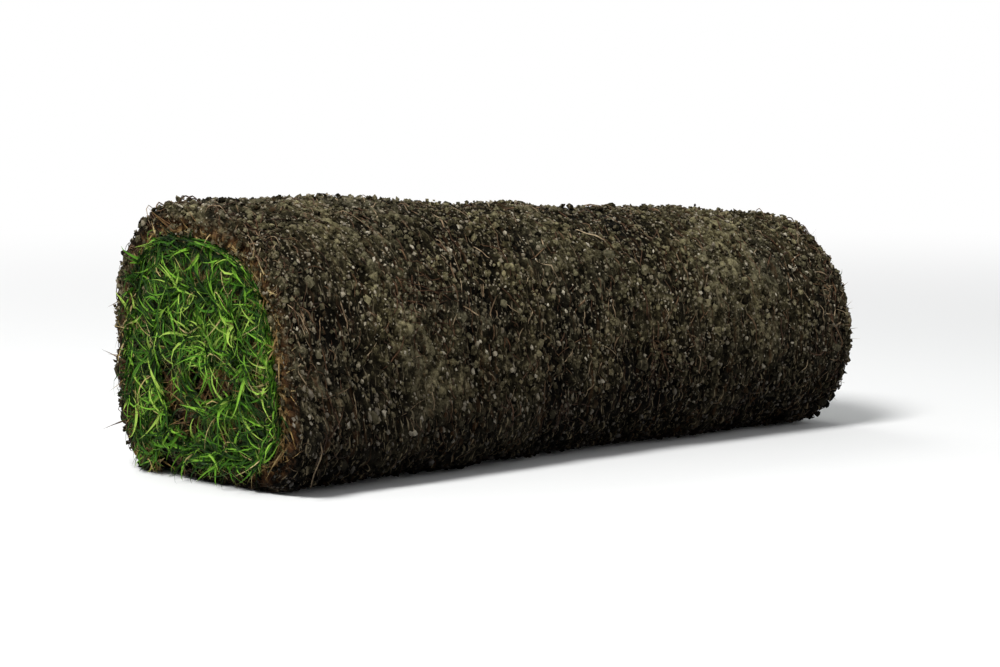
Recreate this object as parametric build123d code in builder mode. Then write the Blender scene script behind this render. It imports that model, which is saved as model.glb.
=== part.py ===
from build123d import *
from math import acos, cos, sin
import os

os.makedirs("parts", exist_ok=True)

# Roll of turf lying on its side: one strip of soil, roots and grass, rolled up with the grass inside.
# The roll's length is along X. The origin is on the ground, under the middle of the roll.

# The strip
strip_width = 400.0  # across the strip, which is the length of the roll
soil_thickness = 15.0  # soil and roots under the grass
grass_thickness = 7.0  # grass pressed flat between one turn and the next

# The roll, at its wide left end
loose_end_radius = 80.0  # from the winding centre to the soil face at the strip's loose end
open_half_turns = 5  # half turns whose grass shows between the soil on the ends, from the loose end in
grass_recess = 12.0  # the soil's cut edge stands this far past the grass at each end
edge_rounding = 5.0  # soil edge worn round along both cut sides
bore_radius = 10.0  # open middle, inside the innermost turn

# The roll is wound tighter towards its right end, where everything across it is this share of the
# size at the left end.
right_end_share = 0.84

# Each half turn is wound about one of two centres half a turn's growth apart, so the radius shrinks
# by this much from one half turn to the next.
turn_pitch = soil_thickness + grass_thickness
half_turn_step = turn_pitch / 2
half_turn = 180.0

# The roll rests on its loose end, at the back, and on the turn below it, under the inner centre.
# rest_angle is how far the loose end lies from straight down, seen from the outer centre.
rest_angle = acos((loose_end_radius - half_turn_step) / (loose_end_radius + half_turn_step))
along_roll = Vector(1, 0, 0)
to_loose_end = Vector(0, sin(rest_angle), -cos(rest_angle))

# The loose end's edge is a straight line along the ground. Each end of the roll is drawn from its
# point on that line: towards the winding centres is minus X in the drawing.
loose_end_y = (loose_end_radius + half_turn_step / 2) * sin(rest_angle) - half_turn_step / 2
outer_centre = -loose_end_radius
inner_centre = -loose_end_radius - half_turn_step
left_end = Plane(origin=(-strip_width / 2, loose_end_y, 0), x_dir=to_loose_end, z_dir=along_roll)
right_end = Plane(origin=(strip_width / 2, loose_end_y, 0), x_dir=to_loose_end, z_dir=along_roll)

# One strip of turf, wound about both centres
with BuildPart() as turf_roll:
    # The two outer half turns, filled down to the centre. They meet flush on one side of the roll,
    # and on the other side the loose end stands one strip thickness above the turn below.
    for end_plane, share in ((left_end, 1.0), (right_end, right_end_share)):
        with BuildSketch(end_plane):
            with BuildLine():
                CenterArc((outer_centre, 0), loose_end_radius, 0, half_turn)
                CenterArc((inner_centre, 0), loose_end_radius - half_turn_step, half_turn, half_turn)
                Line((-turn_pitch, 0), (0, 0))
            make_face()
            scale(by=share)
    loft(ruled=True)
    fillet(turf_roll.edges().filter_by(GeomType.CIRCLE), edge_rounding)

    # The open middle, straight through along the line of the inner centre
    bore_start = left_end.from_local_coords(Vector(inner_centre, 0, 0))
    bore_finish = right_end.from_local_coords(Vector(inner_centre * right_end_share, 0, 0))
    with BuildSketch(Plane(origin=(bore_start + bore_finish) / 2, z_dir=bore_finish - bore_start)):
        Circle(bore_radius)
    extrude(amount=strip_width, both=True, mode=Mode.SUBTRACT)

    # The grass between the turns, sunk below the soil's edge on both ends
    for end_plane, share, inwards in ((left_end, 1.0, 1), (right_end, right_end_share, -1)):
        with BuildSketch(end_plane):
            with BuildLine():
                soil_side, centre_side = (
                    [
                        CenterArc(
                            center=(inner_centre if turned % 2 else outer_centre, 0),
                            radius=loose_end_radius - depth - half_turn_step * turned,
                            start_angle=half_turn * turned,
                            arc_size=half_turn,
                        )
                        for turned in range(open_half_turns)
                    ]
                    for depth in (soil_thickness, turn_pitch)
                )
                Line(soil_side[0] @ 0, centre_side[0] @ 0)
                Line(soil_side[-1] @ 1, centre_side[-1] @ 1)
            make_face()
            scale(by=share)
        extrude(amount=grass_recess * inwards, mode=Mode.SUBTRACT)

turf_roll.part.label = "turf_roll"
export_step(turf_roll.part, "parts/turf_roll.step")
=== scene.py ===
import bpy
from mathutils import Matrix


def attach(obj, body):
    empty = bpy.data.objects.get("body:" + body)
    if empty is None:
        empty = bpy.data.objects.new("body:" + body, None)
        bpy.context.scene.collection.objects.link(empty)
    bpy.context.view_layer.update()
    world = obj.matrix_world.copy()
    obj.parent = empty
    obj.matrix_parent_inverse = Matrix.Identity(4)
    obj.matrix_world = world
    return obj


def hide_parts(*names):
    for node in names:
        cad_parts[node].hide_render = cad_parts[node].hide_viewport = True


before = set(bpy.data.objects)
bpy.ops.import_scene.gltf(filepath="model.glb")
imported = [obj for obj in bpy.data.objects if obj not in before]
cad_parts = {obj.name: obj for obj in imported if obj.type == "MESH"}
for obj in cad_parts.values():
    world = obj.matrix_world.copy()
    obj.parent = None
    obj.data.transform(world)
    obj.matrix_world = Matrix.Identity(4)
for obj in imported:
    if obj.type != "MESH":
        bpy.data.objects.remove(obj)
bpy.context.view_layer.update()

import bpy
import numpy as np

# --------------------------------------
# The outermost turn of the strip
# The real strip is living turf, cut under the roots and rolled with its grass inside, so the roll
# shows the bare underside of the soil: crumbly, rooted earth, sagging a little where it rests.
chance = np.random.default_rng(71)

strip_width = 0.400
soil_thickness = 0.015
grass_thickness = 0.007
loose_end_radius = 0.080
right_end_share = 0.84
edge_rounding = 0.005
cut_side = strip_width / 2  # from the middle of the roll to the strip's cut side, at either end
seen_depth = 0.026  # how far in from the cut sides the strip's inner faces are made
outer_half_turns = 2.05
crumb_height = 0.003  # relief that counts as one on the "crest" mark
half_turn_step = (soil_thickness + grass_thickness) / 2
half_turn_length = np.pi * (loose_end_radius - half_turn_step / 2)

# The roll rests on its loose end, at the back, and on the turn below it, under the inner centre.
rest_angle = np.arccos((loose_end_radius - half_turn_step) / (loose_end_radius + half_turn_step))
to_loose_end = np.array([np.sin(rest_angle), -np.cos(rest_angle)])
outer_centre = np.array(
    [(half_turn_step * np.sin(rest_angle) - half_turn_step) / 2, loose_end_radius * np.cos(rest_angle)]
)
inner_centre = outer_centre - to_loose_end * half_turn_step
loose_end_y = (outer_centre + to_loose_end * loose_end_radius)[0]
roll_height = outer_centre[1] + loose_end_radius


def unit(vectors):
    """The same directions, each with a length of one."""
    return vectors / (np.linalg.norm(vectors, axis=-1, keepdims=True) + 1e-12)


def placed(x, flat):
    """Points (x, y, z) from a position along the roll and the points (y, z) of a cross-section."""
    return np.concatenate([np.broadcast_to(x, flat.shape[:-1])[..., None], flat], -1)


def wound(half_turns, depth):
    """Cross-section points (y, z) of the rolled strip. Half turn k is an arc about the outer centre when k
    is even and about the inner centre when odd, and its radius is the loose end's radius less k steps
    and less the depth below the soil's outer face."""
    k = np.floor(np.clip(half_turns, 0.0, 5.9999))
    centre = outer_centre + (k % 2)[..., None] * (inner_centre - outer_centre)
    angle = rest_angle - np.pi / 2 + np.pi * half_turns
    radius = loose_end_radius - k * half_turn_step - depth
    return centre + radius[..., None] * np.stack([np.cos(angle), np.sin(angle)], -1)


def lattice_value(cell, seed):
    """One random number from 0 to 1 for each whole-numbered cell: the cell's numbers are multiplied by
    large odd numbers, added, and their bits mixed."""
    c = cell.astype(np.int64).astype(np.uint32)
    h = c[..., 0] * np.uint32(0x8DA6B343) + c[..., 1] * np.uint32(0xD8163841)
    h = h + c[..., 2] * np.uint32(0xCB1AB31F) + np.uint32((seed * 0x9E3779B1) & 0xFFFFFFFF)
    h = (h ^ (h >> np.uint32(13))) * np.uint32(0x5BD1E995)
    h = (h ^ (h >> np.uint32(15))) * np.uint32(0x27D4EB2F)
    return (h ^ (h >> np.uint32(16))) / 4294967295.0


def smooth_noise(points, size, seed):
    """Noise from -1 to 1 with features of about the given size: random numbers on a cubic lattice,
    blended between the eight corners of each cube."""
    p = np.asarray(points) / size
    low = np.floor(p)
    f = p - low
    f = f * f * (3 - 2 * f)
    total = 0.0
    for corner in np.ndindex(2, 2, 2):
        corner = np.array(corner)
        weight = np.prod(np.where(corner == 1, f, 1 - f), axis=-1)
        total = total + weight * lattice_value(low + corner, seed)
    return total * 2 - 1


def crumb_noise(points, size, seed):
    """Rounded crumbs packed side by side: one minus the distance to the nearest of the random points,
    one in each cube of the given size."""
    p = np.asarray(points) / size
    low = np.floor(p)
    nearest = np.full(p.shape[:-1], 9.0)
    for corner in np.ndindex(3, 3, 3):
        cell = low + np.array(corner) - 1
        spot = np.stack([lattice_value(cell, seed + n) for n in range(3)], -1)
        nearest = np.minimum(nearest, np.sum((cell + spot - p) ** 2, -1))
    return 1 - np.sqrt(nearest)


def soil_relief(x, half_turns, inset):
    """How far the soil stands out from the plain wound strip, in metres, worked out on the strip laid flat:
    soft lumps of two sizes, cutter furrows round the roll, crumbs of two sizes drawn out a little the same
    way, and grains, less small pits and torn places. Each is a height times noise of its own size."""
    round_ = half_turns * half_turn_length
    flat = np.stack(np.broadcast_arrays(x, round_ / 1.35, inset), -1)
    furrowed = np.stack(np.broadcast_arrays(x / 0.0045, round_ / 0.050, inset * 0), -1)
    pits = np.clip(smooth_noise(flat, 0.0125, 5) - 0.34, 0, 1)
    torn = np.clip(smooth_noise(flat, 0.034, 15) - 0.40, 0, 1)
    return (
        0.0015 * smooth_noise(flat, 0.060, 1)
        + 0.0013 * smooth_noise(flat, 0.026, 2)
        + 0.0008 * smooth_noise(furrowed, 1.0, 3)
        + 0.0024 * (crumb_noise(flat, 0.0092, 21) - 0.45)
        + 0.0029 * (crumb_noise(flat, 0.0049, 31) - 0.45)
        + 0.0008 * smooth_noise(flat, 0.0024, 4)
        - 0.0044 * pits
        - 0.0034 * torn
    )


def settle(points):
    """The finished roll from the plain winding. The round section goes squarer by the square of the sine
    of twice the angle round it, most at the left end, where its lower front and upper back corners are
    fuller still. Everything across the roll is drawn in towards the loose end's line on the ground, down
    to the right end's share. The top dips towards both ends from a crown at a third of the length, and
    leans back at the left end. The lowest soil flattens on the ground, and the front spreads above it."""
    x, y, z = points[..., 0], points[..., 1], points[..., 2]
    near_left = np.clip((0.04 - x) / 0.24, 0, 1)
    arm_y, arm_z = y - inner_centre[0], z - inner_centre[1]
    square = (2 * arm_y * arm_z / (arm_y**2 + arm_z**2 + 1e-9)) ** 2
    lower_front = np.clip(-arm_y / 0.03, 0, 1) * np.clip(-arm_z / 0.03, 0, 1)
    upper_back = np.clip(arm_y / 0.03, 0, 1) * np.clip(arm_z / 0.03, 0, 1)
    corners = (0.120 * lower_front + 0.085 * upper_back) * near_left
    swell = 1 + square * (0.024 - 0.055 * np.clip(x, -cut_side, cut_side) + corners)
    y, z = inner_centre[0] + arm_y * swell, inner_centre[1] + arm_z * swell

    share = 1 - (1 - right_end_share) * (x / strip_width + 0.5)
    y, z = loose_end_y + (y - loose_end_y) * share, z * share

    height = np.clip(z / roll_height, 0, 1.2)
    right_dip = 0.0034 * np.clip((x - 0.03) / 0.17, 0, 1.3) ** 1.7
    left_dip = 0.0040 * np.clip((-0.10 - x) / 0.10, 0, 1.2) ** 1.5
    crown = 0.0016 * np.exp(-(((x + 0.055) / 0.08) ** 2))
    z = z + (crown - (right_dip + left_dip)) * height**1.2 - 0.0040 * (1 - height) ** 2
    y = y + 0.0065 * near_left * np.clip(height - 0.3, 0, 1)

    z = 0.5 * (z + np.sqrt(z * z + 0.0030**2))
    front = np.clip(-y / 0.05, 0, 1.6)
    along = 1.15 - 2.2 * np.clip(x + 0.05, -0.15, 0.25) + 0.45 * near_left
    y = y - 0.0039 * front * np.exp(-(((z - 0.016) / 0.036) ** 2)) * along
    return np.stack([x, y, np.maximum(z, 0.0004)], -1)


def grid_quads(rows, columns):
    """Corner numbers of the quads of a grid of rows by columns points, numbered row by row."""
    start = (np.arange(rows - 1)[:, None] * columns + np.arange(columns - 1)).ravel()
    return np.stack([start, start + columns, start + columns + 1, start + 1], -1)


def new_object(name, data):
    """A new object in the scene, at the origin."""
    made = bpy.data.objects.new(name, data)
    bpy.context.scene.collection.objects.link(made)
    return made


def make_piece(name, points, faces, finish, marks=None, wound_map=None, smooth=True):
    """A mesh object at the origin from arrays: points, faces of three or four corners, one number per
    point for each mark, and a map of distance round the strip and along the roll."""
    mesh = bpy.data.meshes.new(name)
    corners = faces.shape[1]
    mesh.vertices.add(len(points))
    mesh.vertices.foreach_set("co", np.asarray(points, np.float32).ravel())
    mesh.loops.add(faces.size)
    mesh.loops.foreach_set("vertex_index", faces.astype(np.int32).ravel())
    mesh.polygons.add(len(faces))
    mesh.polygons.foreach_set("loop_start", np.arange(0, faces.size, corners, dtype=np.int32))
    mesh.polygons.foreach_set("use_smooth", np.full(len(faces), smooth))
    mesh.update(calc_edges=True)
    for mark, values in (marks or {}).items():
        stored = mesh.attributes.new(mark, "FLOAT", "POINT").data
        stored.foreach_set("value", np.asarray(values, np.float32).ravel())
    if wound_map is not None:
        stored = mesh.uv_layers.new(name="wound").data
        stored.foreach_set("uv", np.asarray(wound_map, np.float32)[faces.ravel()].ravel())
    mesh.materials.append(finish)
    piece = new_object(name, mesh)
    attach(piece, "root")
    return piece


def strip_sheet(half_turns, depths, profile_x, profile_inset):
    """The strip's skin: a path round the roll, given by half turns and depths, carries a profile of
    positions along the roll and insets below the skin. Relief is added along the skin's own normal."""
    path = wound(half_turns, depths)
    tangent = unit(np.gradient(path, axis=0))
    outward = np.stack([tangent[:, 1], -tangent[:, 0]], -1)
    base = placed(profile_x, path[:, None] - profile_inset[None, :, None] * outward[:, None])
    normal = unit(np.cross(np.gradient(base, axis=0), np.gradient(base, axis=1)))
    turned, inset = np.broadcast_arrays(half_turns[:, None], profile_inset[None])
    relief = soil_relief(base[..., 0], turned, inset)
    points = settle(base + normal * relief[..., None])
    reach = np.cumsum(np.r_[0, np.linalg.norm(np.diff(path, axis=0), axis=1)])
    run = np.cumsum(np.r_[0, np.hypot(np.diff(profile_x), np.diff(profile_inset))])
    laid_out = np.stack(np.broadcast_arrays(reach[:, None], run[None, :]), -1)
    return points, {"crest": relief / crumb_height, "inset": inset / soil_thickness}, laid_out


def edge_profile(skin_run, rounding):
    """Half a strip's profile at its right cut side, from the skin, round the worn corner, down the cut
    face and back along the grass side: positions inwards of the cut face, and insets."""
    turn = np.linspace(0, np.pi / 2, 6)
    corner = rounding * (1 - np.sin(turn)), rounding * (1 - np.cos(turn))
    face = np.linspace(rounding, soil_thickness, 9)[1:]
    back = np.linspace(0, seen_depth, 9)[1:]
    inwards = np.r_[skin_run, corner[0], 0 * face, back]
    inset = np.r_[0 * skin_run, corner[1], face, np.full(len(back), soil_thickness)]
    return inwards, inset


def node(tree, kind, settings=None, **inputs):
    """A shader node with its settings and its inputs: a value is set on the socket, a socket is linked.
    An input goes by its name, with _ for a space, or by its number after a _."""
    made = tree.nodes.new("ShaderNode" + kind)
    for key, value in (settings or {}).items():
        setattr(made, key, value)
    for key, value in inputs.items():
        socket = made.inputs[int(key[1:])] if key[0] == "_" else made.inputs[key.replace("_", " ")]
        if isinstance(value, bpy.types.NodeSocket):
            tree.links.new(value, socket)
        else:
            socket.default_value = value
    return made


def new_finish(name):
    """A new material, its empty node tree, and the place on the object that is being coloured."""
    finish = bpy.data.materials.new(name)
    finish.use_nodes = True
    finish.node_tree.nodes.clear()
    return finish, finish.node_tree, node(finish.node_tree, "TexCoord").outputs["Object"]


def surfaced(finish, colour, roughness, shine, **bump):
    """Gives a material its surface, and hands it back."""
    inputs = {"Base Color": colour, "Roughness": roughness, "Specular IOR Level": shine, **bump}
    surface = node(finish.node_tree, "BsdfPrincipled", **inputs).outputs[0]
    node(finish.node_tree, "OutputMaterial", Surface=surface)
    return finish


def bumped(tree, strength, distance, height, **under):
    """A bump of a height, over another bump where one is given."""
    made = node(tree, "Bump", Strength=strength, Distance=distance, Height=height, **under)
    return made.outputs[0]


def mark(tree, name):
    """The number that every point of a piece carries under this name."""
    return node(tree, "Attribute", {"attribute_name": name}).outputs["Fac"]


def above_ground(tree, place):
    """The height of a place over the ground."""
    return node(tree, "SeparateXYZ", Vector=place).outputs[2]


def noise(tree, place, scale, detail, roughness=0.5, distortion=0.0):
    """Soft noise from 0 to 1."""
    inputs = {"Scale": scale, "Detail": detail, "Roughness": roughness, "Distortion": distortion}
    return node(tree, "TexNoise", Vector=place, **inputs).outputs["Fac"]


def strip_noise(tree, scale_round, scale_along, detail, roughness=0.5):
    """Soft noise on the strip laid flat, with a scale round the roll and another along it."""
    flat = node(tree, "UVMap", {"uv_map": "wound"}).outputs["UV"]
    flat = node(tree, "Mapping", Vector=flat, Scale=(scale_round, scale_along, 1.0)).outputs[0]
    return noise(tree, flat, 1.0, detail, roughness)


def span(tree, value, start, end, low=0.0, high=1.0):
    """Low where a value is at its start or below, high at its end or above, and evenly between."""
    return node(tree, "MapRange", Value=value, _1=start, _2=end, _3=low, _4=high).outputs[0]


def worked_out(tree, operation, *values):
    """One step of arithmetic on values."""
    inputs = {f"_{number}": value for number, value in enumerate(values)}
    return node(tree, "Math", {"operation": operation}, **inputs).outputs[0]


def ramp(tree, factor, *stops):
    """A colour ramp through (position, red, green, blue) stops."""
    made = node(tree, "ValToRGB", Fac=factor)
    points = made.color_ramp.elements
    points[0].position, points[0].color = stops[0][0], (*stops[0][1:], 1)
    points[1].position, points[1].color = stops[-1][0], (*stops[-1][1:], 1)
    for position, *colour in stops[1:-1]:
        points.new(position).color = (*colour, 1)
    return made.outputs["Color"]


def blended(tree, share, first, second, way="MIX"):
    """Two colours mixed by a share. Of the mix node's sockets, the colours are inputs 6 and 7, output 2."""
    mix = {"data_type": "RGBA", "blend_type": way}
    return node(tree, "Mix", mix, _0=share, _6=first, _7=second).outputs[2]


def shaded(tree, colour, factor, *stops):
    """A colour multiplied by a ramp."""
    return blended(tree, 1.0, colour, ramp(tree, factor, *stops), "MULTIPLY")


def soil_finish(name):
    """Moist rooted earth: brown on the crumbs and near black in the pits, partly painted shade, darker
    towards the ground by painted shade and some damp, with beige and grey grains, cut root ends drawn out
    round the roll, and a red-brown to straw root mat on the cut faces."""
    finish, tree, place = new_finish(name)
    patches = noise(tree, place, 30.0, 4.0)
    crumbs = noise(tree, place, 360.0, 4.0, 0.72)
    # Painted shade: the pits of the relief and of the crumb noise are coloured near black, the crumb tops
    # brown.
    height = worked_out(tree, "MULTIPLY_ADD", mark(tree, "crest"), 0.40, -0.07)
    height = worked_out(tree, "MULTIPLY_ADD", crumbs, 1.15, height)
    earth = ramp(
        tree,
        height,
        (0.24, 0.0040, 0.0033, 0.0018),
        (0.45, 0.0145, 0.0120, 0.0065),
        (0.64, 0.051, 0.044, 0.0240),
        (0.90, 0.215, 0.193, 0.118),
    )
    earth = shaded(tree, earth, patches, (0.38, 0.56, 0.545, 0.55), (0.64, 1.42, 1.34, 1.20))
    # Painted shade: the earth goes near black towards the ground, partly for damp earth, and the pale grains
    # fade out there too.
    dry_and_lit = span(tree, above_ground(tree, place), 0.0, 0.100)
    earth = shaded(
        tree,
        earth,
        dry_and_lit,
        (0.05, 0.05, 0.05, 0.055),
        (0.32, 0.17, 0.17, 0.18),
        (0.62, 0.74, 0.75, 0.76),
        (1.00, 1.03, 1.07, 1.05),
    )
    streaks = span(tree, strip_noise(tree, 16.0, 260.0, 5.0, 0.6), 0.56, 0.72, 0.0, 0.6)
    earth = blended(tree, streaks, earth, (0.085, 0.043, 0.020, 1))
    cut_roots = span(tree, strip_noise(tree, 95.0, 760.0, 3.0, 0.55), 0.58, 0.66, 0.0, 0.85)
    earth = blended(tree, cut_roots, earth, (0.165, 0.135, 0.083, 1))
    for scale, passed_over, colour in (
        (330.0, 0.80, (0.21, 0.180, 0.118, 1)),
        (620.0, 0.84, (0.29, 0.255, 0.180, 1)),
    ):
        grains = node(tree, "TexVoronoi", Vector=place, Scale=scale)
        grain = span(tree, grains.outputs["Distance"], 0.20, 0.36, 1.0, 0.0)
        lot = node(tree, "SeparateColor", Color=grains.outputs["Color"]).outputs[0]
        pale = worked_out(tree, "MULTIPLY", grain, worked_out(tree, "GREATER_THAN", lot, passed_over))
        earth = blended(tree, worked_out(tree, "MULTIPLY", pale, dry_and_lit), earth, colour)
    fibres = strip_noise(tree, 520.0, 150.0, 4.0)
    rusty = (0.36, 0.018, 0.009, 0.005), (0.54, 0.085, 0.038, 0.016), (0.70, 0.21, 0.115, 0.045)
    straw = (0.34, 0.030, 0.018, 0.008), (0.50, 0.16, 0.095, 0.034), (0.66, 0.42, 0.29, 0.115)
    inset = mark(tree, "inset")
    rust_share = ramp(tree, inset, (0.22, 0.0, 0.0, 0.0), (0.52, 0.5, 0.5, 0.5), (0.70, 0.9, 0.9, 0.9))
    straw_share = ramp(tree, inset, (0.66, 0.0, 0.0, 0.0), (0.96, 0.95, 0.95, 0.95))
    earth = blended(tree, rust_share, earth, ramp(tree, fibres, *rusty))
    earth = blended(tree, straw_share, earth, ramp(tree, fibres, *straw))
    rough = span(tree, patches, 0.35, 0.65, 0.80, 1.0)
    bump = bumped(tree, 0.9, 0.0013, noise(tree, place, 1150.0, 3.0, 0.65))
    bump = bumped(tree, 1.0, 0.0024, crumbs, Normal=bump)
    return surfaced(finish, earth, rough, 0.04, Normal=bump)


soil = soil_finish("moist_soil")

# The skin starts on the loose end's own face, turns round its edge and runs twice half round the roll.
end_rounding = 0.0035
skin_rows = 330
corner = np.linspace(0, np.pi / 2, 4)
rounding_turns = end_rounding / (np.pi * loose_end_radius)
onwards = np.linspace(rounding_turns, outer_half_turns, skin_rows + 1)[1:]
skin_turns = np.r_[np.zeros(6), rounding_turns * (1 - np.cos(corner)), onwards]
face_depths = np.linspace(soil_thickness, end_rounding, 7)[:-1]
skin_depths = np.r_[face_depths, end_rounding * (1 - np.sin(corner)), np.zeros(skin_rows)]
inwards, inset = edge_profile(np.linspace(cut_side, edge_rounding, 119)[:-1], edge_rounding)
profile_x = np.r_[-(cut_side - inwards)[::-1], (cut_side - inwards)[1:]]
profile_inset = np.r_[inset[::-1], inset[1:]]
points, marks, laid_out = strip_sheet(skin_turns, skin_depths, profile_x, profile_inset)
quads = grid_quads(*points.shape[:2])
outer_turn = make_piece("turf_outer_turn", points.reshape(-1, 3), quads, soil, marks, laid_out.reshape(-1, 2))
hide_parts("turf_roll")

# --------------------------------------
# The inner turns of the strip
# The same strip goes on inside, and its cut side shows at each end of the roll as a spiral of soil
# between the grass. Past the first few centimetres nothing of it can be seen.
innermost_turn = 5.98
overlap_start = 1.96  # a little before the outermost turn's end
inner_turns_path = np.linspace(overlap_start, innermost_turn, 270)
inner_rounding = 0.003


def copied(faces, count, corners):
    """The faces of many copies of one shape: the corner numbers of each copy go on from the last one's."""
    return (faces + (np.arange(count) * corners)[:, None, None]).reshape(-1, faces.shape[-1])


inwards, inset = edge_profile(np.linspace(seen_depth, inner_rounding, 8)[:-1], inner_rounding)
sheets = [
    strip_sheet(inner_turns_path, 0 * inner_turns_path, (side * (cut_side - inwards))[::side], inset[::side])
    for side in (-1, 1)
]
rows, columns = sheets[0][0].shape[:2]
inner_turns = make_piece(
    "turf_inner_turns",
    np.concatenate([s[0].reshape(-1, 3) for s in sheets]),
    copied(grid_quads(rows, columns), 2, rows * columns),
    soil,
    {key: np.concatenate([s[1][key].ravel() for s in sheets]) for key in ("crest", "inset")},
    np.concatenate([s[2].reshape(-1, 2) for s in sheets]),
)
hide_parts("turf_roll")

# --------------------------------------
# The matted base of the grass
# Dead stems and moss lie matted where the blades leave the soil. Between the turns this mat is pressed
# flat, a little way in from each end, with the living blades standing out past it.
mat_recess = 0.011
mat_overlap = 0.002  # how far the mat runs into the soil on either side
mat_depths = np.linspace(soil_thickness - mat_overlap, soil_thickness + grass_thickness + mat_overlap, 8)


def mat_finish():
    """Matted dead stems: brown fibres with a little green, and painted shade near black in the gaps between
    them, from stretched noise.
    """
    finish, tree, place = new_finish("stem_mat")
    fibres = noise(tree, place, 520.0, 5.0, distortion=2.5)
    # Painted shade: the gaps between the fibres go near black.
    colour = ramp(
        tree,
        fibres,
        (0.38, 0.006, 0.008, 0.003),
        (0.52, 0.020, 0.026, 0.007),
        (0.62, 0.060, 0.060, 0.018),
        (0.76, 0.19, 0.14, 0.055),
    )
    return surfaced(finish, colour, 0.85, 0.06, Normal=bumped(tree, 1.0, 0.002, fibres))


def mat_sheet(end_side):
    """A spiral band at one end: half turns round the roll by depths across the grass, set in from the cut
    face and roughened along the roll."""
    grid_turns, grid_depths = np.meshgrid(np.linspace(0.0, innermost_turn, 420), mat_depths, indexing="ij")
    base = placed(end_side * (cut_side - mat_recess), wound(grid_turns, grid_depths))
    rough = 0.0035 * smooth_noise(base, 0.006, 41) + 0.0018 * smooth_noise(base, 0.0026, 42)
    base[..., 0] += end_side * rough
    return settle(base)


mat_skin = mat_finish()
sheets = [mat_sheet(1), mat_sheet(-1)[:, ::-1]]
rows, columns = sheets[0].shape[:2]
stem_mat = make_piece(
    "grass_stem_mat",
    np.concatenate([s.reshape(-1, 3) for s in sheets]),
    copied(grid_quads(rows, columns)[:, ::-1], 2, rows * columns),
    mat_skin,
)
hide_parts("turf_roll")

# --------------------------------------
# Clods, crumbs and grit
# Loose lumps of earth cling to the roots all over the outside, with pale grains of sand and fine gravel
# among them. They are held only by moisture and roots.


def ball(rounds):
    """A ball of triangles: the twelve corners of an icosahedron, each triangle split in four per round
    and its new corners pushed out to the sphere."""
    g = (1 + 5**0.5) / 2
    corners = [(-1, g, 0), (1, g, 0), (-1, -g, 0), (1, -g, 0), (0, -1, g), (0, 1, g), (0, -1, -g), (0, 1, -g)]
    corners = unit(np.array(corners + [(g, 0, -1), (g, 0, 1), (-g, 0, -1), (-g, 0, 1)], float))
    faces = "0b5 051 017 07a 0ab 159 5b4 ba2 a76 718 394 342 326 368 389 495 24b 62a 867 981"
    faces = np.array([[int(c, 16) for c in f] for f in faces.split()])
    for _ in range(rounds):
        middle = [(corners[faces[:, i]] + corners[faces[:, (i + 1) % 3]]) / 2 for i in range(3)]
        ab, bc, ca = (np.arange(len(faces)) + len(corners) + i * len(faces) for i in range(3))
        a, b, c = faces.T
        quarters = (a, ab, ca), (ab, b, bc), (ca, bc, c), (ab, bc, ca)
        faces = np.concatenate([np.stack(quarter, -1) for quarter in quarters])
        corners = np.concatenate([corners, *middle])
        corners, where = np.unique(np.round(corners, 9), axis=0, return_inverse=True)
        faces = where.reshape(-1)[faces]
        corners = unit(corners)
    return corners, faces


def on_skin(half_turns, x, stand=0.0):
    """Points on the relieved skin, before it settles, and their outward directions, for any place round
    and along the roll. Near the cut sides the skin dips by the worn corner's quarter circle."""
    near_edge = np.clip(edge_rounding - (cut_side - np.abs(x)), 0, edge_rounding)
    dip = edge_rounding - np.sqrt(edge_rounding**2 - near_edge**2)
    flat = wound(half_turns, dip)
    normal = placed(0.0, unit(flat - wound(half_turns, dip + 0.001)))
    lift = soil_relief(x, half_turns, dip) + stand
    return placed(x, flat) + normal * lift[..., None], normal


def turned_at_random(points):
    """Each group of points turned at random about its middle: four normal numbers, made a unit quaternion
    and written out as a rotation matrix."""
    w, a, b, c = unit(chance.normal(size=(len(points), 4))).T
    turn = [
        [1 - 2 * (b * b + c * c), 2 * (a * b - c * w), 2 * (a * c + b * w)],
        [2 * (a * b + c * w), 1 - 2 * (a * a + c * c), 2 * (b * c - a * w)],
        [2 * (a * c - b * w), 2 * (b * c + a * w), 1 - 2 * (a * a + b * b)],
    ]
    return np.einsum("ijn,nkj->nki", np.array(turn), points)


def scattered_lumps(count, template, low, high, squash, sink, ends_share=0.0, face_share=0.0, drawn=0.0):
    """Many copies of a template ball, as one array: each is stretched, dented at every corner, turned at
    random, drawn out round the roll by the given share, and set on the skin, or on the cut face of a turn,
    sunk by the given share of its size. Sizes run from low to high with most near low."""
    corners, faces = template
    turns = chance.uniform(0.0, 2.0, count)
    edge = cut_side - 0.001
    x = chance.uniform(-1, 1, count) * edge
    at_end = chance.random(count) < ends_share
    x = np.where(at_end, np.sign(x) * (edge - chance.exponential(0.004, count)), x)
    size = low * (high / low) ** (chance.random(count) ** 2.2)
    place, normal = on_skin(turns, x)

    on_face = chance.random(count) < face_share
    face_side, depth = np.sign(x), soil_thickness * chance.uniform(0.12, 1.0, count)
    face_turns = np.where(chance.random(count) < 0.8, turns, turns * 2.6)
    face_x = face_side * (cut_side + soil_relief(face_side * cut_side, face_turns, depth))
    place = np.where(on_face[:, None], placed(face_x, wound(face_turns, depth)), place)
    normal = np.where(on_face[:, None], np.column_stack([face_side, 0 * x, 0 * x]), normal)
    place = place + normal * (size * (0.5 - sink))[:, None]

    stretch = size[:, None] / 2 * chance.uniform(squash, 1.15, (count, 3))
    dented = corners[None] * chance.uniform(0.62, 1.3, (count, len(corners), 1)) * stretch[:, None]
    points = turned_at_random(dented)
    round_ = np.cross(normal, np.array([1.0, 0, 0]))
    points = points + np.einsum("nki,ni->nk", points, round_)[:, :, None] * round_[:, None] * drawn
    points = points + place[:, None]
    shade = np.repeat(chance.random(count), len(corners))
    crest = np.repeat(chance.normal(0.35, 0.35, count), len(corners))
    return settle(points).reshape(-1, 3), copied(faces, count, len(corners)), shade, crest


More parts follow.
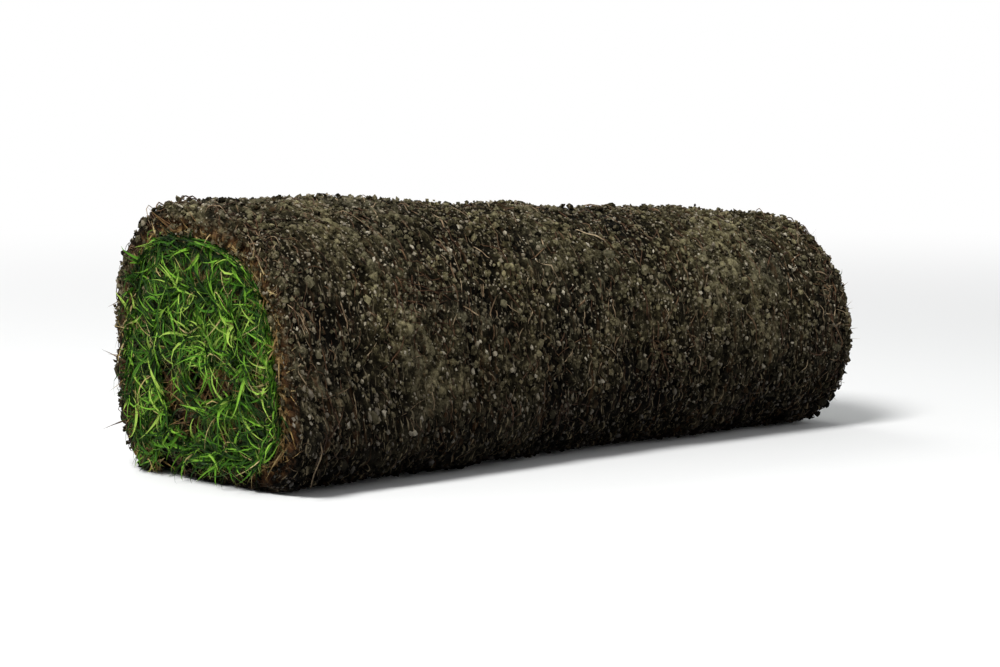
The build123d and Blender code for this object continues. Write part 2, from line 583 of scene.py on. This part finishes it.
def lumps_piece(name, groups, finish):
    """Joins groups of scattered lumps into one piece."""
    first = np.cumsum([0] + [len(g[0]) for g in groups])
    points = np.concatenate([g[0] for g in groups])
    faces = np.concatenate([g[1] + start for g, start in zip(groups, first)])
    shade, crest = (np.concatenate([g[n] for g in groups]) for n in (2, 3))
    marks = {"shade": shade, "crest": crest, "inset": np.zeros(len(points))}
    piece = make_piece(name, points, faces, finish, marks, points[:, [1, 0]], smooth=False)
    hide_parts("turf_roll")


octahedron = (
    np.array([(1, 0, 0), (-1, 0, 0), (0, 1, 0), (0, -1, 0), (0, 0, 1), (0, 0, -1)], float),
    np.array([[int(c) for c in f] for f in "024 214 134 304 205 125 315 035".split()]),
)
lumps_piece(
    "soil_clods",
    [
        scattered_lumps(170, ball(1), 0.0042, 0.0085, 0.6, 0.38),
        scattered_lumps(4200, ball(0), 0.0026, 0.0052, 0.55, 0.26, 0.06, 0.06, 0.25),
        scattered_lumps(10600, octahedron, 0.0017, 0.0036, 0.6, 0.15, 0.05, 0.14, 0.35),
    ],
    soil,
)


def grit_finish():
    """Sand and fine gravel: beige, grey and pale stone grains, each of its own shade, slightly speckled, and
    darkened towards the ground by painted shade."""
    finish, tree, place = new_finish("grit_grains")
    stone = ramp(
        tree,
        mark(tree, "shade"),
        (0.0, 0.085, 0.068, 0.040),
        (0.35, 0.135, 0.112, 0.070),
        (0.7, 0.215, 0.185, 0.125),
        (1.0, 0.40, 0.36, 0.27),
    )
    speckle, height = noise(tree, place, 2600.0, 2.0), above_ground(tree, place)
    stone = shaded(tree, stone, speckle, (0.35, 0.62, 0.60, 0.58), (0.65, 1.15, 1.15, 1.15))
    # Painted shade: the grains go near black close to the ground.
    stone = shaded(tree, stone, height, (0.010, 0.08, 0.075, 0.075), (0.085, 1.0, 1.0, 1.0))
    return surfaced(finish, stone, 0.55, 0.30)


lumps_piece(
    "grit_grains",
    [
        scattered_lumps(900, ball(0), 0.0020, 0.0036, 0.55, 0.12, 0.03, 0.05, 0.3),
        scattered_lumps(6000, octahedron, 0.0012, 0.0025, 0.55, 0.05, 0.03, 0.05, 0.5),
    ],
    grit_finish(),
)

# --------------------------------------
# Roots
# Fine roots were sliced through by the cutter and lie over the soil, mostly drawn round the roll, some
# looping clear of it, with a fringe of them hanging at both cut sides.
root_steps = 8
root_corners = 3


def fibre_tubes(paths, radius):
    """Thin round fibres: a ring of corners carried along each path, in the plane across it, and drawn in
    to a fine point at both ends."""
    count, steps = paths.shape[:2]
    tangent = unit(np.gradient(paths, axis=1))
    aside = unit(np.cross(tangent, np.array([0.31, 0.42, 0.85])))
    above = np.cross(tangent, aside)
    round_ = np.arange(root_corners) * 2 * np.pi / root_corners
    taper = np.sin(np.linspace(0.12, np.pi - 0.12, steps)) ** 0.35
    ring = np.cos(round_)[:, None] * aside[:, :, None] + np.sin(round_)[:, None] * above[:, :, None]
    points = paths[:, :, None] + ring * (radius[:, None] * taper)[:, :, None, None]
    i, j = np.meshgrid(np.arange(steps - 1) * root_corners, np.arange(root_corners), indexing="ij")
    k = (j + 1) % root_corners
    quads = np.stack([i + j, i + k, i + root_corners + k, i + root_corners + j], -1).reshape(-1, 4)
    return points.reshape(-1, 3), copied(quads, count, steps * root_corners)


def root_paths(count, shortest, longest, x_start, turn_start, heading, lift):
    """Wandering lines over the skin: distance round and along the roll grow with a slowly changing heading
    and the height above the skin rises and falls like a low bridge."""
    length = shortest * (longest / shortest) ** chance.random(count)
    s = np.linspace(0, 1, root_steps)
    turning, waving = chance.normal(0, 0.5, (count, 1)), chance.normal(0, 0.22, (count, 1))
    bend = turning * s + waving * np.sin(2 * np.pi * s + chance.uniform(0, 6, (count, 1)))
    angle = heading[:, None] + bend
    step = length[:, None] / (root_steps - 1)
    along = np.clip(x_start[:, None] + np.cumsum(np.sin(angle) * step, axis=1), -cut_side, cut_side)
    turns = turn_start[:, None] + np.cumsum(np.cos(angle) * step, axis=1) / half_turn_length
    bridge = np.sin(np.pi * s) * lift[:, None] - 0.0004 + 0.0006 * np.sin(7 * s + angle)
    places, _ = on_skin(np.clip(turns, 0.0, outer_half_turns), along, bridge)
    return settle(places)


def root_finish():
    """Root skin: from red-brown to pale straw, each root of its own tone, darker where soil sticks, and
    darkened towards the ground by painted shade."""
    finish, tree, place = new_finish("root_skin")
    skin = ramp(
        tree,
        mark(tree, "shade"),
        (0.0, 0.030, 0.016, 0.009),
        (0.4, 0.085, 0.042, 0.020),
        (0.72, 0.17, 0.105, 0.055),
        (1.0, 0.40, 0.31, 0.19),
    )
    crust, height = noise(tree, place, 320.0, 2.0), above_ground(tree, place)
    skin = shaded(tree, skin, crust, (0.40, 0.45, 0.42, 0.40), (0.60, 1.0, 1.0, 1.0))
    # Painted shade: roots darken close to the ground.
    skin = shaded(tree, skin, height, (0.010, 0.20, 0.19, 0.18), (0.080, 1.0, 1.0, 1.0))
    return surfaced(finish, skin, 0.7, 0.15)


def hanging_root():
    """One longer pale root that hangs from the left end's lower front: it leaves the skin, sways twice on
    its way down like a slack string and bends back a little at its tip."""
    start = settle(on_skin(np.array([1.42]), np.array([-0.1955]), 0.0004)[0])[0]
    s = np.linspace(0, 1, root_steps)
    sway = 0.0016 * np.sin(6.4 * s) - 0.0034 * s**2
    return (start + np.stack([sway, -0.0026 * np.sin(np.pi * s) + 0.0015 * s**3, -0.025 * s], -1))[None]


root_count, fringe_count = 2000, 560
turns_with_roots = 1.95
root_start = chance.uniform(-0.197, 0.197, root_count)
turn_start = chance.uniform(0.0, turns_with_roots, root_count)
fringe_side = np.where(chance.random(fringe_count) < 0.4, -1.0, 1.0)
fringe_start = fringe_side * (0.199 - chance.exponential(0.006, fringe_count))
round_way = chance.normal(0, 0.34, root_count) + np.pi * (chance.random(root_count) < 0.5)

# A tenth of the roots lie close together in bundles, each at a position along and round the roll.
bundles = [(-0.020, 1.42), (0.047, 1.30), (0.118, 1.50), (-0.128, 1.12), (0.010, 0.55), (-0.095, 0.35)]
in_bundle = chance.random(root_count) < 0.10
bundle_x, bundle_turn = np.array(bundles)[chance.integers(0, len(bundles), root_count)].T
root_start = np.where(in_bundle, bundle_x + chance.normal(0, 0.0028, root_count), root_start)
turn_start = np.where(in_bundle, bundle_turn + chance.normal(0, 0.035, root_count), turn_start)
round_way = np.where(in_bundle, round_way * 0.4, round_way)
lift = np.abs(chance.normal(0, 0.0010, root_count))
over_skin = root_paths(root_count, 0.007, 0.040, root_start, turn_start, round_way, lift)
turn_start = chance.uniform(0.0, turns_with_roots, fringe_count)
any_way = chance.normal(0, 0.9, fringe_count)
lift = np.abs(chance.normal(0.001, 0.0020, fringe_count))
fringe = root_paths(fringe_count, 0.008, 0.026, fringe_start, turn_start, any_way, lift)
paths = np.concatenate([over_skin, fringe, hanging_root()])
thinnest, thickest = 0.00017, 0.00050
thickness = thinnest * (thickest / thinnest) ** (chance.random(len(paths)) ** 1.6)
tone = chance.random(len(paths)) ** 0.8
tone[:root_count] = np.where(in_bundle, 0.25 + 0.25 * tone[:root_count], tone[:root_count])
thickness[-1], tone[-1] = 0.00042, 0.93
points, quads = fibre_tubes(paths, thickness)
marks = {"shade": np.repeat(tone, root_steps * root_corners)}
roots = make_piece("root_fibres", points, quads, root_finish(), marks)
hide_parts("turf_roll")

# --------------------------------------
# The grass at both ends
# Mown blades grow from the strip's inner face. Pressed between the turns they have nowhere to go but out
# of the ends, where they fan out, curl and cross each other over the inner soil edges.
furthest_blade = 0.2195  # from the middle of the roll


def varied(mean, spread, least, most, shape):
    """Random sizes about a mean, kept between a least and a most."""
    return np.clip(chance.normal(mean, spread, shape), least, most)


def blade_ribbons(paths, width, facing, fold):
    """Grass blades: three corners across at each step of a path, the middle one sunk to make the fold, and
    the width full near the base and drawn to a point at the tip."""
    count, steps = paths.shape[:2]
    tangent = unit(np.gradient(paths, axis=1))
    across = unit(np.cross(tangent, facing[:, None]))
    up = np.cross(across, tangent)
    s = np.linspace(0, 1, steps)
    shape = 0.62 + 0.38 * np.sin(np.pi * np.clip(s * 1.25 + 0.1, 0, 1))
    shape = shape * np.clip((1 - s) / 0.42, 0.03, 1) ** 0.8
    half = (width[:, None] / 2 * shape)[:, :, None]
    rows = np.stack([paths - across * half, paths - up * half * 2 * fold, paths + across * half], 2)
    i, j = np.meshgrid(np.arange(steps - 1) * 3, np.arange(2), indexing="ij")
    quads = np.stack([i + j, i + j + 1, i + j + 4, i + j + 3], -1).reshape(-1, 4)
    return rows.reshape(-1, 3), copied(quads, count, steps * 3)


def blades_piece(name, paths, width, facing, tone, finish, map_length, fold=0.22, lowest=0.0006):
    """One piece made of blades, kept off the ground and within reach of the ends. Its marks are each
    blade's tone and how far along the blade a corner lies, and its map runs across and along the blade."""
    count, steps = paths.shape[:2]
    points, quads = blade_ribbons(paths, width, facing, fold)
    points[:, 2] = np.maximum(points[:, 2], lowest)
    points[:, 0] = np.clip(points[:, 0], -furthest_blade, furthest_blade)
    reach = np.repeat(np.linspace(0, 1, steps), 3)
    ribs = np.stack([np.tile([0.0, 0.5, 1.0], steps), reach * map_length], -1)
    marks = {"shade": np.repeat(tone, steps * 3), "reach": np.tile(reach, count)}
    piece = make_piece(name, points, quads, finish, marks, np.tile(ribs, (count, 1)))
    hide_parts("turf_roll")


def grass_finish():
    """Blade skin: dark to fresh green by the blade's tone, paler at the base, with straw for the dead ones,
    fine ribs along the blade from its map, and a soft gloss."""
    finish, tree, _ = new_finish("grass_blade")
    reach = mark(tree, "reach")
    green = ramp(
        tree,
        mark(tree, "shade"),
        (0.00, 0.004, 0.014, 0.001),
        (0.30, 0.011, 0.040, 0.003),
        (0.58, 0.056, 0.176, 0.009),
        (0.80, 0.205, 0.430, 0.036),
        (0.88, 0.350, 0.500, 0.085),
        (0.92, 0.430, 0.340, 0.125),
        (1.00, 0.560, 0.460, 0.220),
    )
    green = blended(tree, span(tree, reach, 0.0, 0.45, 0.28, 0.0), green, (0.080, 0.105, 0.022, 1))
    green = blended(tree, span(tree, reach, 0.86, 1.0, 0.0, 0.45), green, (0.34, 0.29, 0.10, 1))
    across = node(tree, "UVMap", {"uv_map": "wound"}).outputs["UV"]
    bands = {"wave_type": "BANDS", "bands_direction": "X"}
    ribs = node(tree, "TexWave", bands, Vector=across, Scale=3.2).outputs["Fac"]
    green = shaded(tree, green, ribs, (0.2, 0.82, 0.84, 0.80), (0.8, 1.1, 1.08, 1.1))
    return surfaced(finish, green, 0.52, 0.12, Normal=bumped(tree, 0.4, 0.0003, ribs))


grass = grass_finish()
bare_arcs = np.array([(3.88, 4.20), (5.58, 5.94)])  # half turns where soil shows through, at the left end


def in_bare_arc(flat, ragged):
    """Which points of the left end lie where an inner turn's soil edge shows through the grass: nearer than
    a few millimetres, made ragged by noise, to an arc along the middle of that edge."""
    inside = np.zeros(flat.shape[:-1], bool)
    for first, last in bare_arcs:
        middle = wound(np.linspace(first, last, 9), np.full(9, soil_thickness / 2))
        reach = np.linalg.norm(flat[..., None, :] - middle, axis=-1).min(axis=-1)
        inside |= reach < 0.0060 * (1 + ragged)
    return inside


def kept_in_ring(flat, over, spill):
    """Blades that reach the outermost soil bend along it: past the soil's inner edge only a share of the
    extra reach is kept, and that much more of it goes outwards, over the soil's cut face."""
    arm = flat - outer_centre
    upper = arm[..., 0] * -to_loose_end[1] + arm[..., 1] * to_loose_end[0] > 0
    centre = np.where(upper[..., None], outer_centre, inner_centre)
    skin = np.where(upper, loose_end_radius, loose_end_radius - half_turn_step)
    arm = flat - centre
    reach = np.linalg.norm(arm, axis=-1)
    extra = np.maximum(reach - (skin - soil_thickness - 0.001), 0)
    kept = (reach - extra * (1 - spill))[..., None]
    return centre + arm / reach[..., None] * kept, over + 0.30 * np.minimum(extra, 0.012)


def end_blades(end_side, count, length, first_lean, tallest):
    """Paths of blades of one kind at one end. Each leaves the strip's inner face a little way in, and past
    the cut side it curls: its lean from straight out grows from the first lean to about a right angle or
    more, and its heading across the end turns steadily, from a start of its own."""
    length, first_lean = varied(*length, count), np.radians(varied(*first_lean, count))
    tallest = varied(*tallest, count)
    turns = 5.85 * (1 - np.sqrt(1 - 0.93 * chance.random(count))) / (1 - np.sqrt(0.07))
    inside = np.minimum(0.0005 + chance.exponential(0.005, count), 0.013)
    root = wound(turns, np.full(count, soil_thickness - 0.0006))
    mouth = wound(turns, soil_thickness + chance.uniform(0.001, grass_thickness, count))
    steps = 6
    s = np.linspace(0, 1, steps + 1)[None]
    heading = chance.uniform(0, 2 * np.pi, (count, 1)) + chance.normal(0, 1.7, (count, 1)) * s
    last_lean = np.radians(varied(103, 17, 72, 150, (count, 1)))
    lean = first_lean[:, None] + (last_lean - first_lean[:, None]) * s**0.75
    lean, heading = ((a[:, 1:] + a[:, :-1]) / 2 for a in (lean, heading))
    ways = np.stack([np.cos(lean), np.sin(lean) * np.cos(heading), np.sin(lean) * np.sin(heading)])
    gone = np.cumsum(ways * (length[:, None] / steps), axis=2)
    over, aside, above = np.concatenate([np.zeros((3, count, 1)), gone], 2)
    over = np.maximum(over, 0.0006) * np.minimum(1, tallest / np.maximum(over.max(1), 1e-6))[:, None]
    over = over * (0.40 + 0.60 * np.clip(turns, 0.0, 1.6) / 1.6)[:, None]
    above = above - chance.uniform(1.0, 5.0, (count, 1)) * (s * length[:, None]) ** 2
    flat = mouth[:, None] + np.stack([aside, above], -1)

    # Low blades spill over the soil's cut face, and so does about every fifth of the others.
    low = np.clip((0.056 - mouth[:, 1]) / 0.035, 0, 1)
    spill = 0.08 + 0.80 * low * chance.random(count)
    spill = spill + 0.60 * chance.random(count) * (chance.random(count) < 0.22)
    flat, over = kept_in_ring(flat, over, np.minimum(spill, 1.0)[:, None])
    within = placed(end_side * (cut_side - inside), root)[:, None]
    paths = np.concatenate([within, placed(end_side * (cut_side + over), flat)], 1)

    bare = in_bare_arc(flat, 0.5 * smooth_noise(paths[:, 1:] * [0, 1, 1], 0.004, 52))
    keep = (end_side > 0) | ~(bare & (chance.random(bare.shape) < 0.45)).any(axis=1)
    return paths[keep]


# How many matted and how many standing blades each end has. Then the mean, the spread, the least and the
# most of their length, of their first lean in degrees, and of how far they stand past the cut side.
blade_kinds = (
    (4900, (0.0158, 0.0050, 0.007, 0.028), (38, 17, 8, 75), (0.0055, 0.002, 0.002, 0.010)),
    (600, (0.0228, 0.0050, 0.014, 0.034), (24, 12, 4, 50), (0.0098, 0.002, 0.006, 0.0135)),
)
for name, end_side in (("grass_left_end", -1), ("grass_right_end", 1)):
    paths = np.concatenate([end_blades(end_side, *kind) for kind in blade_kinds])
    count = len(paths)
    mouth = placed(0.0, paths[:, 1, 1:])
    paths = settle(paths)
    facing = np.stack([np.full(count, float(end_side)), *chance.normal(0, 0.75, (2, count))], -1)
    width = varied(0.00120, 0.00032, 0.0007, 0.0022, count)
    dead = chance.random(count) < 0.05
    width = np.where(dead, width * 0.6, width)
    clump = 0.5 + 0.5 * smooth_noise(mouth, 0.015, 51)
    standing_lit_share = np.clip((np.abs(paths[:, 3, 0]) - cut_side) / 0.008, 0, 1)
    # Painted light and shade: blades that stand further out past the cut side get lighter tones, matted ones
    # darker.
    tone = 0.46 * clump + 0.80 * chance.random(count) ** 1.6 + 0.44 * standing_lit_share - 0.33
    tone = np.where(dead, chance.uniform(0.9, 1.0, count), np.clip(tone, 0, 0.87))
    blades_piece(name, paths, width, facing, tone, grass, 4)

# --------------------------------------
# The grass under the loose end
# Under the back of the roll the same grass sticks out between the strip's loose end and the turn below,
# as a low fringe in the gap where fingers lift the loose end.


def loose_end_mat():
    """A sheet along the roll across the gap: half turns hold it a little way in from the loose end, depths
    run over the grass, and it is roughened outwards."""
    x = np.linspace(-cut_side + 0.012, cut_side - 0.012, 150)
    grid_x, grid_depths = np.meshgrid(x, mat_depths, indexing="ij")
    base = placed(grid_x, wound(np.full(grid_x.shape, 0.035), grid_depths))
    rough = 0.0022 * smooth_noise(base, 0.006, 61) + 0.0012 * smooth_noise(base, 0.0026, 62)
    round_ = np.array([0.0, -to_loose_end[1], to_loose_end[0]])
    return settle(base - round_ * rough[..., None])


sheet = loose_end_mat()
gap_mat = make_piece("loose_end_mat", sheet.reshape(-1, 3), grid_quads(*sheet.shape[:2]), mat_skin)
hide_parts("turf_roll")


def loose_end_blades(count):
    """Paths of the fringe: each blade leaves the strip's inner face near the loose end, comes out of the gap
    and droops along a parabola, turning a little to one side."""
    x = chance.uniform(-1, 1, count) * (cut_side - 0.008)
    root = wound(chance.uniform(0.02, 0.10, count), np.full(count, soil_thickness - 0.0005))
    mouth = wound(np.zeros(count), soil_thickness + chance.uniform(0.001, grass_thickness - 0.001, count))
    length = varied(0.015, 0.004, 0.007, 0.024, count)
    s = np.linspace(0, 1, 6)[None]
    out_way = np.array([to_loose_end[1], -to_loose_end[0]])
    aside = chance.normal(0, 0.55, (count, 1)) * s + chance.normal(0, 0.5, (count, 1)) * s**2
    fall = chance.uniform(0.1, 0.9, (count, 1)) * s**2
    flat = mouth[:, None] + (s * length[:, None])[..., None] * out_way
    flat[..., 1] -= fall * length[:, None]
    along = np.clip(x[:, None] + aside * length[:, None], -cut_side - 0.006, cut_side + 0.006)
    return settle(np.concatenate([placed(x, root)[:, None], placed(along, flat)], 1))


count = 900
paths = loose_end_blades(count)
aside, up = chance.normal(0, 0.6, count), chance.normal(0.5, 0.5, count)
facing = np.stack([aside, np.ones(count), up], -1)
width = varied(0.0017, 0.0004, 0.0009, 0.0028, count)
dead = chance.random(count) < 0.12
tone = np.where(dead, chance.uniform(0.9, 1.0, count), chance.uniform(0.05, 0.85, count))
blades_piece("grass_loose_end", paths, width, facing, tone, grass, 3)

# --------------------------------------
# Dead stems round the rim
# Straw-coloured stems and root ends stick out of the mat where the cutter went through it, thickest just
# inside the outermost soil.


def stem_finish():
    """Dead stems and root ends: rust brown through ochre to straw by the stem's tone, darker at the root
    and unevenly soiled."""
    finish, tree, place = new_finish("dead_stem")
    skin = ramp(
        tree,
        mark(tree, "shade"),
        (0.0, 0.060, 0.028, 0.012),
        (0.35, 0.150, 0.080, 0.028),
        (0.7, 0.330, 0.215, 0.070),
        (1.0, 0.560, 0.440, 0.215),
    )
    reach, crust = mark(tree, "reach"), noise(tree, place, 420.0, 2.0)
    skin = shaded(tree, skin, reach, (0.0, 0.30, 0.24, 0.20), (0.45, 1.0, 1.0, 1.0))
    skin = shaded(tree, skin, crust, (0.38, 0.50, 0.46, 0.42), (0.58, 1.0, 1.0, 1.0))
    return surfaced(finish, skin, 0.66, 0.20)


def rim_stems(count, end_side):
    """Short stiff stems at one end: each starts in the mat on the grass side of the cut soil, or at the left
    end where the grass is bare, and leans out and along the rim, curling a little. About a quarter of them
    stand close together at the front of the rim."""
    turns = chance.uniform(0.0, 1.0, count) ** 1.5 * 5.6
    in_front = chance.random(count) < 0.26
    turns = np.where(in_front, chance.normal(1.24, 0.17, count), turns)
    depth = soil_thickness - np.abs(chance.normal(0, 0.0030, count)) + 0.0015
    root = wound(turns, depth)
    inward = unit(wound(turns, depth + 0.001) - root)
    first, last = bare_arcs[chance.integers(0, len(bare_arcs), count)].T
    in_arc = (chance.random(count) < 0.10) & (end_side < 0)
    arc_turns = first + (last - first) * chance.random(count)
    arc_root = wound(arc_turns, soil_thickness * chance.uniform(-0.1, 1.2, count))
    root = np.where(in_arc[:, None], arc_root, root)
    round_ = np.stack([-inward[:, 1], inward[:, 0]], -1)
    length = varied(0.0085, 0.0035, 0.003, 0.018, count)
    s = np.linspace(0, 1, 5)[None]
    lean_in, lean_round = chance.normal(0.12, 0.42, (count, 1)), chance.normal(0, 0.75, (count, 1))
    curl = chance.normal(0.1, 0.5, (count, 1))
    flat = root[:, None] + inward[:, None] * ((lean_in * s + curl * s**2) * length[:, None])[:, :, None]
    flat = flat + round_[:, None] * (lean_round * s * length[:, None])[:, :, None]
    out = chance.uniform(0.10, 0.62, (count, 1)) * s * length[:, None] - 0.0015
    facing = chance.normal(0, 1, (count, 3)) + np.array([end_side * 1.0, 0, 0])
    tone = np.where(in_front, chance.uniform(0.45, 1.0, count), chance.random(count))
    tone = np.where(in_arc, chance.uniform(0.10, 0.65, count), tone)
    return settle(placed(end_side * (cut_side + out), flat)), facing, tone


paths, facing, tone = (np.concatenate(both) for both in zip(rim_stems(2300, -1), rim_stems(2300, 1)))
width = chance.uniform(0.0005, 0.0014, len(paths))
blades_piece("dead_stems", paths, width, facing, tone, stem_finish(), 2, fold=0.3, lowest=0.0005)

# --------------------------------------
# Floor, light and camera
# A plain pale floor, three soft lamps, and the camera at the photograph's angle: low, on the left of the
# roll, far off with a long lens.
from mathutils import Vector

edge = 14.0
floor_mesh = bpy.data.meshes.new("floor")
floor_corners = [(-edge, -edge, 0), (edge, -edge, 0), (edge, edge, 0), (-edge, edge, 0)]
floor_mesh.from_pydata(floor_corners, [], [(0, 1, 2, 3)])
floor = new_object("floor", floor_mesh)

# Seen from the camera, the floor turns from lit paper to plain white with the distance from the roll.
paper, tree, place = new_finish("floor_paper")
sheet = node(tree, "BsdfPrincipled", Base_Color=(0.78, 0.78, 0.77, 1), Roughness=0.9)
away = node(tree, "VectorMath", {"operation": "LENGTH"}, _0=place).outputs["Value"]
away = node(tree, "MapRange", {"interpolation_type": "SMOOTHSTEP"}, Value=away, _1=0.5, _2=1.6)
seen = node(tree, "LightPath").outputs["Is Camera Ray"]
share = worked_out(tree, "MULTIPLY", away.outputs[0], seen)
white = node(tree, "Emission", Color=(1, 1, 1, 1), Strength=1.0)
mixed = node(tree, "MixShader", Fac=share, _1=sheet.outputs[0], _2=white.outputs[0])
node(tree, "OutputMaterial", Surface=mixed.outputs[0])
floor_mesh.materials.append(paper)

world = bpy.data.worlds.new("studio")
bpy.context.scene.world = world
world.use_nodes = True
tree = world.node_tree
tree.nodes.clear()
rays = node(tree, "LightPath").outputs
seen = worked_out(tree, "MAXIMUM", rays["Is Camera Ray"], rays["Is Glossy Ray"])
dim = node(tree, "Background", Color=(0.93, 0.96, 1.0, 1), Strength=0.33)
white = node(tree, "Background", Color=(1, 1, 1, 1), Strength=1.0)
mixed = node(tree, "MixShader", Fac=seen, _1=dim.outputs[0], _2=white.outputs[0])
node(tree, "OutputWorld", Surface=mixed.outputs[0])

# Square soft lamps, each with its power, width and place, and facing the middle of the roll.
for name, power, width, place in (
    ("key_lamp", 54.0, 0.7, (-1.2, -0.45, 1.8)),
    ("fill_lamp", 9.0, 1.4, (1.5, -1.6, 0.9)),
    ("back_lamp", 12.0, 1.0, (0.3, 1.7, 1.5)),
):
    light = bpy.data.lights.new(name, "AREA")
    light.energy, light.size = power, width
    lamp = new_object(name, light)
    lamp.location = place
    lamp.rotation_euler = (Vector((0, 0, 0.07)) - Vector(place)).to_track_quat("-Z", "Y").to_euler()

azimuth, elevation, distance = np.radians(-40.0), np.radians(6.0), 2.0
aim = Vector((-0.006, 0, 0.062))
level = np.cos(elevation)
back = Vector((np.sin(azimuth) * level, -np.cos(azimuth) * level, np.sin(elevation)))
lens = bpy.data.cameras.new("camera")
lens.sensor_width, lens.lens = 36.0, 135.0
lens.clip_start, lens.clip_end = 0.1, 60.0
camera = new_object("camera", lens)
camera.location = aim + back * distance
camera.rotation_euler = (-back).to_track_quat("-Z", "Y").to_euler()
bpy.context.scene.camera = camera
bpy.context.scene.view_settings.view_transform = "Standard"
